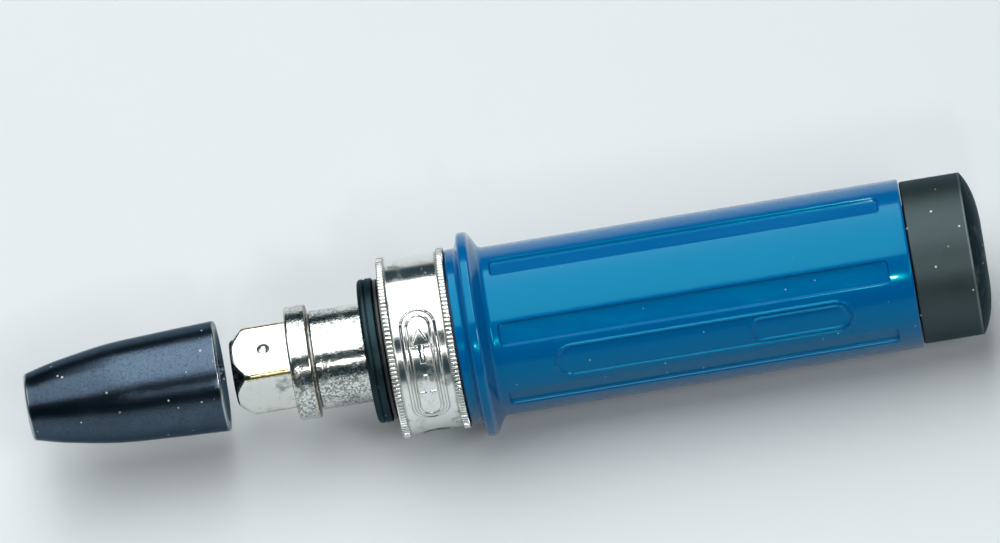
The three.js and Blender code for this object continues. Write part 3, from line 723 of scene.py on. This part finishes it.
dog_end, dog_radius = 10.2, 1.7
thread_end, thread_radius = 14.6, 2.5
screw_top = 16.65
key_socket_half = 1.25
key_socket_rim, key_socket_radius = 1.75, 1.5
key_socket_bottom, key_socket_point = 15.3, 15.0
screw_angles = round_angles(96)
screw_outline = outline([
    (dog_end, 0, 0), (dog_end, dog_radius, 0.2), (thread_end, dog_radius, 0.1),
    (thread_end, thread_radius, 0.25), (screw_top, thread_radius, 0.3),
    (screw_top, key_socket_rim, 0.1), (screw_top - 0.25, key_socket_radius, 0),
    (key_socket_bottom, key_socket_radius, 0), (key_socket_point, 0, 0)])
station, radius = screw_outline[:, :1], screw_outline[:, 1:]
in_socket = (station > thread_end) & np.isclose(radius, key_socket_radius)
screw_radius = np.where(in_socket, prism(key_socket_half, 6, screw_angles), radius)
screw_steel = machined_steel("screw_oxide", linear(92, 94, 96), 0.34)
for number, turn in enumerate(key_angles, 1):
    screw = skin(f"dog_point_screw_{number}", standing(
        turned(screw_outline, screw_angles, screw_radius), key_station, turn), False)
    shown(screw, "collar", screw_steel, f"collar_key_screw_{number}")

# Grip sleeve: glossy blue plastic, moulded over a mandrel and pushed on to the barrel, with
# a guard flange and seven long channels. On the land towards the user stands a long raised
# frame with a short one inside it.

grip_front, neck_rear, flange_front, flange_rear, body_front, grip_rear = (
    -8.85, -6.95, -6.05, -4.25, -2.35, 79.25)
neck_radius = 17.0
flange_radius = 19.8
body_radius = 16.35
neck_bore, neck_bore_rear = 16.1, -5.55
sleeve_bore = 14.6
channel_count = 7
channel_pitch = 2 * math.pi / channel_count
channel_first = math.radians(40)
channel_front, channel_rear = -0.65, 74.85
channel_half = 2.3
channel_floor = 15.5
channel_corner = 0.9
channel_wall = 0.34
land_angle = channel_first + math.pi / channel_count
plate_front, plate_rear = 9.1, 67.2
plate_width = 7.1
plate_line = 0.6
plate_height = 0.3
badge_front, badge_rear = 46.8, 66.3
badge_width = 5.3


def rounded_box(along, across, half_length, half_width, corner):
    """Signed distance to the edge of a rectangle with round corners, negative inside: that to a
    rectangle smaller by the corner all round, less the corner."""
    p = np.abs(along) - (half_length - corner)
    q = np.abs(across) - (half_width - corner)
    outside = np.hypot(np.maximum(p, 0), np.maximum(q, 0))
    return outside + np.minimum(np.maximum(p, q), 0) - corner


def moulded_plastic(name):
    """Glossy blue moulded plastic: slightly uneven like orange peel, with sink clouds, fine
    handling scratches along the grip, a thicker gloss on the edges and a little dust."""
    blue = Finish(name)
    peel = blue.noise(1.6, 3.0, 0.5)
    sink = blue.noise(11, 3.0, 0.5, blue.stretched(0.4, 1, 1))
    scratch = blue.noise(0.35, 2.0, 0.5, blue.stretched(0.08, 1, 1))
    scuffed = scratch.rise(0.66, 0.78) * sink.rise(0.45, 0.6)
    dust = blue.specks(3.6, 0.055) * sink.rise(0.4, 0.55)
    depth = body_radius - blue.off_axis()
    edges = (depth.rise(0.05, 0.14) * depth.rise(0.65, 0.5)).most(
        abs(blue.along("X") - flange_rear).rise(0.5, 0.3))
    colour = blue.mixed(sink, linear(0, 89, 150), linear(0, 96, 158))
    colour = blue.mixed(scuffed * 0.25, colour, linear(30, 130, 180))
    colour = blue.mixed(dust * 0.8, colour, linear(190, 215, 225))
    return blue.done({
        "Base Color": colour,
        "Roughness": 0.1 + 0.08 * peel + 0.2 * scuffed + 0.06 * sink,
        "IOR": 1.5,
        "Specular Tint": (0.0, 1.0, 1.0),
        "Coat Weight": 0.1 + 0.5 * edges,
        "Coat Roughness": 0.05,
    }, 0.018 * peel + 0.12 * sink - 0.006 * scuffed)


# Columns and rows lie closer at the walls of the channels and over the raised frames.
from_middle = np.array([
    0, 0.7, 1.3, 1.7, 1.9, 2.0, 2.08, 2.16, 2.24, 2.32, 2.42, 2.6, 2.9, 3.4, 4.1, 4.8, 5.5, 6.2, 6.8,
    channel_pitch * body_radius / 2])
across_steps = np.concatenate([-from_middle[1:-1][::-1], from_middle])
plate_steps = np.linspace(-plate_width / 2 - 0.5, plate_width / 2 + 0.5, 80)
grip_angles = np.concatenate([
    *[channel_first + i * channel_pitch + across_steps / body_radius for i in range(channel_count)],
    land_angle + plate_steps / body_radius])
grip_angles = np.unique(np.round(grip_angles % (2 * np.pi), 5))
narrow = np.diff(grip_angles, append=grip_angles[0] + 2 * np.pi) < 0.0015
grip_angles = grip_angles[~narrow]
end_steps = np.array([-0.7, -0.3, -0.12, -0.04, 0.04, 0.12, 0.2, 0.28, 0.36, 0.5, 0.7, 0.9, 1.2, 2.0])
plate_end = np.linspace(-0.6, plate_width / 2 + 0.3, 18)
body_rows = np.unique(np.round(np.concatenate([
    channel_front + end_steps, channel_rear - end_steps, plate_front + plate_end,
    plate_rear - plate_end, badge_front + plate_end, np.arange(2, 74, 2.0)]), 3))
grip_outline = with_rows(outline([
    (grip_front, neck_bore, 0.2), (grip_front, neck_radius, 0.35),
    (neck_rear, neck_radius, 0.5), (flange_front, flange_radius, 0.45),
    (flange_rear, flange_radius, 0.4), (body_front, body_radius, 0.8),
    (grip_rear, body_radius, 0.45), (grip_rear, sleeve_bore, 0.2),
    (neck_bore_rear, sleeve_bore, 0), (neck_bore_rear, neck_bore, 0)], 6), body_rows, body_radius)
station, radius = grip_outline[:, :1], grip_outline[:, 1:]
on_body = radius == body_radius
off_channel = (grip_angles - channel_first + channel_pitch / 2) % channel_pitch - channel_pitch / 2
channel_edge = rounded_box(
    station - (channel_front + channel_rear) / 2, off_channel * body_radius,
    (channel_rear - channel_front) / 2, channel_half, channel_corner)
sunk = np.clip(-channel_edge / channel_wall + 0.12, 0, 1)
sunk = sunk * sunk * (3 - 2 * sunk)
floor_radius = channel_floor / np.cos(off_channel)
land_girth = ((grip_angles - land_angle + np.pi) % (2 * np.pi) - np.pi) * body_radius
plate_edge = stadium(station - (plate_front + plate_rear) / 2, land_girth,
                     plate_rear - plate_front, plate_width)
badge_edge = stadium(station - (badge_front + badge_rear) / 2, land_girth,
                     badge_rear - badge_front, badge_width)
raised = np.maximum(ridge(plate_edge + plate_line / 2, plate_line),
                    ridge(badge_edge + plate_line / 2, plate_line))
grip_radius = (radius - on_body * sunk * (body_radius - floor_radius)
               + on_body * plate_height * raised)
grip = skin("blue_grip_sleeve", turned(grip_outline, grip_angles, grip_radius), True)
shown(grip, "handle", moulded_plastic("blue_moulded_plastic"), "grip_sleeve")

# Striking cap: a hardened and blackened steel head that takes the hammer's blows. Its spigot
# is a push fit in the barrel, and a plain steel pin driven across both locks it there.

cap_front, cap_rear = 79.35, 93.65
cap_radius = 15.75
cap_edge = 0.3
cap_crown = 2.6
crown_start = cap_rear - cap_crown
crown_flat = 0.4
crown_power = 4
spigot_front = 65.55
spigot_radius = 11.1
lock_pin_station = 72.55
lock_hole_radius, lock_hole_reach = 1.8, 14


def crowned(share):
    """Face of the cap at a share of its radius: flat in the middle, then it falls with the
    fourth power of the share, by the whole crown at the edge."""
    rest = crown_flat ** crown_power
    return cap_rear - cap_crown * np.maximum(share ** crown_power - rest, 0) / (1 - rest)


edge_share = 1 - cap_edge / cap_radius
crown_share = np.concatenate([np.linspace(edge_share, crown_flat, 22), [crown_flat / 2, 0]])
cap_side = outline([
    (spigot_front, 0, 0), (spigot_front, spigot_radius, 0.8), (cap_front, spigot_radius, 0.2),
    (cap_front, cap_radius, 0.55), (crowned(1.0), cap_radius, cap_edge),
    (crowned(edge_share), edge_share * cap_radius, 0)], 8)
cap_face = np.stack([crowned(crown_share), crown_share * cap_radius], 1)
cap_outline = divided(np.concatenate([cap_side[:-1], cap_face]), 1.0)
cap = skin("black_striking_cap", turned(cap_outline, round_angles(144)), False)
drilled(cap, standing(rod(-lock_hole_reach, lock_hole_reach, lock_hole_radius), lock_pin_station, 0.0))


def struck_steel(name):
    """Blackened forged steel of the head: satin and mottled, with painted shade on the rear face,
    dents and rubbed marks where hammers have met it, a light edge line that is partly wear and
    partly a painted highlight, and some specks of pale dust."""
    head = Finish(name)
    bloom = head.noise(6, 5.0, 0.6)
    grain = head.noise(0.45, 4.0, 0.65)
    lines = head.turning_lines(0.3, 0.04)
    dents = head.specks(3.4, 0.3)
    face = head.along("X").rise(crown_start - 0.05, crown_start + 0.1)
    rubbed = face * bloom.rise(0.5, 0.64) * grain.rise(0.35, 0.6)
    dust = head.specks(3.6, 0.085) * bloom.rise(0.34, 0.46)
    edge = abs(head.along("X") - (crown_start - 0.25)).rise(0.3, 0.12)
    colour = head.mixed(bloom, linear(58, 69, 71), linear(70, 82, 84))
    # Painted shade: the rear face, turned away from the lamps, is darkened.
    colour = head.mixed(face * 0.8, colour, linear(22, 34, 38))
    colour = head.mixed(rubbed * 0.6, colour, linear(96, 102, 102))
    # The edge line is painted light: partly wear, partly a painted highlight on the rounded edge.
    colour = head.mixed(edge * (0.2 + 0.6 * grain), colour, linear(126, 134, 134))
    colour = head.mixed(dust, colour, pale_dust)
    return head.done({
        "Base Color": colour,
        "Metallic": 1.0 - dust,
        "Roughness": 0.38 + 0.12 * bloom - 0.08 * rubbed + 0.06 * grain + 0.4 * dust,
        "Specular Tint": oxide_tint,
    }, 0.008 * lines + 0.02 * grain + 0.03 * bloom - 0.14 * face * dents)


shown(cap, "handle", struck_steel("struck_head_steel"), "striking_cap")
refinish("cap_lock_pin", machined_steel("lock_pin_steel", linear(140, 142, 144), 0.3))

# Bit holder: a long tapered socket of black-oxide steel, shown pulled off the square. Its
# mouth takes the square, and its nose has a hexagon socket for the bits.

holder_front, holder_rear = -92.75, -54.85
nose_radius, mouth_radius = 6.59, 10.73
nose_round, mouth_round = 0.7, 0.5
taper_along = np.array([0, 0.12, 0.25, 0.42, 0.7, 1.0])
taper_swell = np.array([0, 0.27, 0.49, 0.72, 0.88, 1.0])
hexagon_half = 4.15
hexagon_bottom, hexagon_point = -76.75, -75.35
wire_groove_middle, wire_groove_half, wire_groove_radius = -88.25, 0.7, 5.59
wire_groove = [wire_groove_middle + wire_groove_half, wire_groove_middle - wire_groove_half]
socket_half = 6.75
socket_corner = 8.83
socket_blend = 0.3
socket_bottom, socket_point = -67.75, -68.95


def smooth_through(at, known_at, known):
    """Smooth curve through known values: cubic pieces whose slopes are those of the parabola
    through each value and its two neighbours."""
    slope = np.gradient(known, known_at)
    i = np.clip(np.searchsorted(known_at, at) - 1, 0, len(known_at) - 2)
    width = known_at[i + 1] - known_at[i]
    t = (at - known_at[i]) / width
    return ((2 * t ** 3 - 3 * t ** 2 + 1) * known[i] + (t ** 3 - 2 * t ** 2 + t) * width * slope[i]
            + (3 * t ** 2 - 2 * t ** 3) * known[i + 1] + (t ** 3 - t ** 2) * width * slope[i + 1])


# Columns lie closer at the corners of both sockets.
hexagon_columns = np.arange(6)[:, None] * np.pi / 3 + np.radians([-2, -1, 0, 1, 2])
square_columns = np.arange(4)[:, None] * np.pi / 2 + np.radians([
    36, 38, 39, 40, 41, 42, 44, 45, 46, 48, 49, 50, 51, 52, 54])
holder_columns = np.concatenate([round_angles(96), hexagon_columns.ravel(), square_columns.ravel()])
holder_columns = np.unique(np.round(holder_columns % (2 * np.pi), 5))
hexagon = prism(hexagon_half, 6, holder_columns, math.pi / 2)
hexagon_corner = hexagon_half / math.cos(math.pi / 6)
square = lesser(prism(socket_half, 4, holder_columns), socket_corner, socket_blend)
taper_share = np.linspace(0, 1, 40)
taper_x = (holder_front + nose_round
           + (holder_rear - mouth_round - holder_front - nose_round) * taper_share)
taper_r = nose_radius + (mouth_radius - nose_radius) * smooth_through(
    taper_share, taper_along, taper_swell)
nose_arc = np.linspace(0, np.pi / 2, 9)
mouth_arc = np.linspace(0, np.pi / 2, 7)
holder_rows = []
holder_grid = []


def add_rows(x, r):
    """Puts rows of the bit holder one after another: where each lies, and its radius all round."""
    x = np.atleast_1d(np.asarray(x, float))
    holder_rows.append(np.stack([x, np.zeros_like(x)], 1))
    holder_grid.append(np.broadcast_to(r, (len(x), len(holder_columns))))


add_rows(hexagon_point, 0.0)
add_rows([hexagon_bottom, wire_groove[0]], hexagon)
add_rows(wire_groove, np.maximum(hexagon, wire_groove_radius))
add_rows([wire_groove[1], holder_front + 1.1], hexagon)
add_rows(holder_front + 0.5, np.maximum(hexagon, hexagon_corner - 0.12))
add_rows(holder_front, hexagon_corner + 0.45)
add_rows(holder_front + nose_round * (1 - np.cos(nose_arc)),
         (nose_radius - nose_round + nose_round * np.sin(nose_arc))[:, None])
add_rows(taper_x[1:-1], taper_r[1:-1, None])
add_rows(holder_rear - mouth_round + mouth_round * np.sin(mouth_arc),
         (mouth_radius - mouth_round + mouth_round * np.cos(mouth_arc))[:, None])
add_rows(holder_rear, socket_corner + 0.4)
add_rows(holder_rear - 0.2, np.maximum(square, socket_corner + 0.05))
add_rows([holder_rear - 0.8, holder_rear - 2.2, socket_bottom], square)
add_rows(socket_point, 0.0)
holder = skin("tapered_bit_holder", turned(
    np.concatenate(holder_rows), holder_columns, np.concatenate(holder_grid)), False)
oxide = Finish("holder_oxide")
# The nose and mouth rims are painted light: partly worn bare steel, partly a painted highlight on the
# rounded edges.
nose_rim_wear_and_highlight = (oxide.along("X").rise(holder_front + 0.75, holder_front + 0.3)
            * oxide.off_axis().rise(nose_radius - 0.9, nose_radius - 0.45))
mouth_rim_wear_and_highlight = (oxide.along("X").rise(holder_rear - 0.6, holder_rear - 0.25)
             * oxide.off_axis().rise(mouth_radius - 0.8, mouth_radius - 0.4))
shown(holder, "bit_holder",
      black_steel(oxide, linear(65, 79, 93), 0.1, 1.0, nose_rim_wear_and_highlight.most(mouth_rim_wear_and_highlight)), "bit_holder")

# Bit retaining ring: an open ring of spring wire, snapped into a groove of the hexagon
# socket, which grips the bit's corners.

ring_opening = math.radians(50)
ring_mean = 4.89
ring_wire = 0.45
ring_turn = np.linspace(ring_opening / 2, 2 * np.pi - ring_opening / 2, 60)
ring_path = np.stack([np.full_like(ring_turn, wire_groove_middle), ring_mean * np.sin(ring_turn),
                      ring_mean * np.cos(ring_turn)], 1)
bit_ring = skin("sprung_wire_ring", wire(ring_path, ring_wire, 14), False)
shown(bit_ring, "bit_holder",
      machined_steel("ring_wire_steel", linear(150, 152, 156), 0.26), "bit_retaining_ring")

# Studio: a plain pale floor that fades into a pale horizon, under a wide softbox overhead and
# one to the left, with a lamp at the right and two small ones in front for the glints. The
# camera stands where the photograph was taken from.

floor_half = 1.2
floor_fade_from, floor_fade_to = 450, 1150
floor_seen = (0.735, 0.77, 0.785)
floor_bounce = (0.20, 0.205, 0.21)
horizon_light = (0.72, 0.73, 0.74)
room_dark = (0.022, 0.05, 0.062)
floor_mesh = bpy.data.meshes.new("floor")
floor_corners = floor_half * np.array([(-1, -1, 0), (1, -1, 0), (1, 1, 0), (-1, 1, 0)])
floor_mesh.from_pydata(floor_corners.tolist(), [], [(0, 1, 2, 3)])
floor = added("floor", floor_mesh)
paper = Finish("pale_floor")
seen = paper.node("LightPath", {}, {}, "Is Camera Ray").most(
    paper.node("LightPath", {}, {}, "Is Glossy Ray")).most(
    paper.node("LightPath", {}, {}, "Is Transmission Ray"))
clouded = paper.mixed(paper.noise(60, 2.0), floor_seen, shade(floor_seen, 0.97))
matt = paper.node("BsdfDiffuse", {}, {"Color": paper.mixed(seen, floor_bounce, clouded)})
off_middle = paper.length_of(paper.stretched(1, 1, 0))
floor_mesh.materials.append(paper.close("Material", paper.node("MixShader", {}, {
    0: off_middle.rise(floor_fade_from, floor_fade_to), 1: matt,
    2: paper.node("BsdfTransparent", {}, {})})))


def lamp(name, place, width, depth, power, colour):
    """Rectangular soft lamp in metres, turned towards the tool's axis. Its width lies along X
    and its depth square to it."""
    light = bpy.data.lights.new(name, "AREA")
    light.shape = "RECTANGLE"
    light.size, light.size_y = width, depth
    light.energy = power
    light.color = colour
    stand = added(name, light)
    stand.location = place
    stand.rotation_euler = (math.atan2(-place[1], place[2]), 0, 0)


def aloft(elevation, distance, aside):
    """Point at a distance from the tool's middle and an elevation on the camera's side, past 90
    degrees where it lies behind, and so far aside along X."""
    up = math.radians(elevation)
    return (aside, -distance * math.cos(up), axis_height * mm + distance * math.sin(up))


white, warm_white = (1.0, 1.0, 1.0), (1.0, 0.97, 0.92)
lamp("overhead_softbox", aloft(106, 0.9, -0.05), 0.56, 1.45, 8.5, white)
lamp("left_softbox", aloft(92, 0.9, -0.60), 0.5, 1.1, 3.3, white)
lamp("left_front_lamp", aloft(41, 1.0, -0.066), 0.02, 0.04, 0.4, warm_white)
lamp("right_front_lamp", aloft(38.5, 1.0, 0.08), 0.022, 0.05, 0.8, warm_white)
lamp("side_lamp", aloft(50, 0.95, 0.47), 0.26, 0.3, 2.5, white)

world = bpy.data.worlds.new("studio")
bpy.context.scene.world = world
sky = Finish("studio", world)
height = sky.node("SeparateXYZ", {}, {0: sky.node("TexCoord", {}, {}, "Generated")}, "Z")
near_horizon = height.rise(math.sin(math.radians(9)), math.sin(math.radians(1)))
sky.close("World", sky.node("Background", {}, {
    "Color": sky.mixed(near_horizon, room_dark, horizon_light), "Strength": 1.0}))

focal_pixels = 11440.0
pixels_per_metre = 5200.0
image_width = 1000
sensor = 36.0
camera_elevation = math.radians(53)
camera_roll = math.radians(9.3)
camera_distance = focal_pixels / pixels_per_metre
camera_aside = 0.075
camera_yaw = math.atan2(camera_aside, camera_distance)
aim_station = -0.15
pixels_right, pixels_up = -3.1, 58.25
to_rear = np.array([1.0, 0, 0])
straight_ahead = np.array([0, math.cos(camera_elevation), -math.sin(camera_elevation)])
level_up = np.array([0, math.sin(camera_elevation), math.cos(camera_elevation)])
ahead = math.cos(camera_yaw) * straight_ahead - math.sin(camera_yaw) * to_rear
across = math.cos(camera_yaw) * to_rear + math.sin(camera_yaw) * straight_ahead
camera_right = math.cos(camera_roll) * across - math.sin(camera_roll) * level_up
camera_up = math.sin(camera_roll) * across + math.cos(camera_roll) * level_up
aim = np.array([(middle[0] + aim_station) * mm, 0, axis_height * mm])
camera_place = (aim - ahead * camera_distance + camera_right * pixels_right / pixels_per_metre
                + camera_up * pixels_up / pixels_per_metre)
camera_data = bpy.data.cameras.new("camera")
camera_data.sensor_width = sensor
camera_data.lens = focal_pixels * sensor / image_width
camera_data.clip_start = 0.05
camera = added("camera", camera_data)
stance = np.eye(4)
stance[:3] = np.stack([camera_right, camera_up, -ahead, camera_place], 1)
camera.matrix_world = Matrix(stance.tolist())
bpy.context.scene.camera = camera
bpy.context.scene.view_settings.view_transform = "Standard"
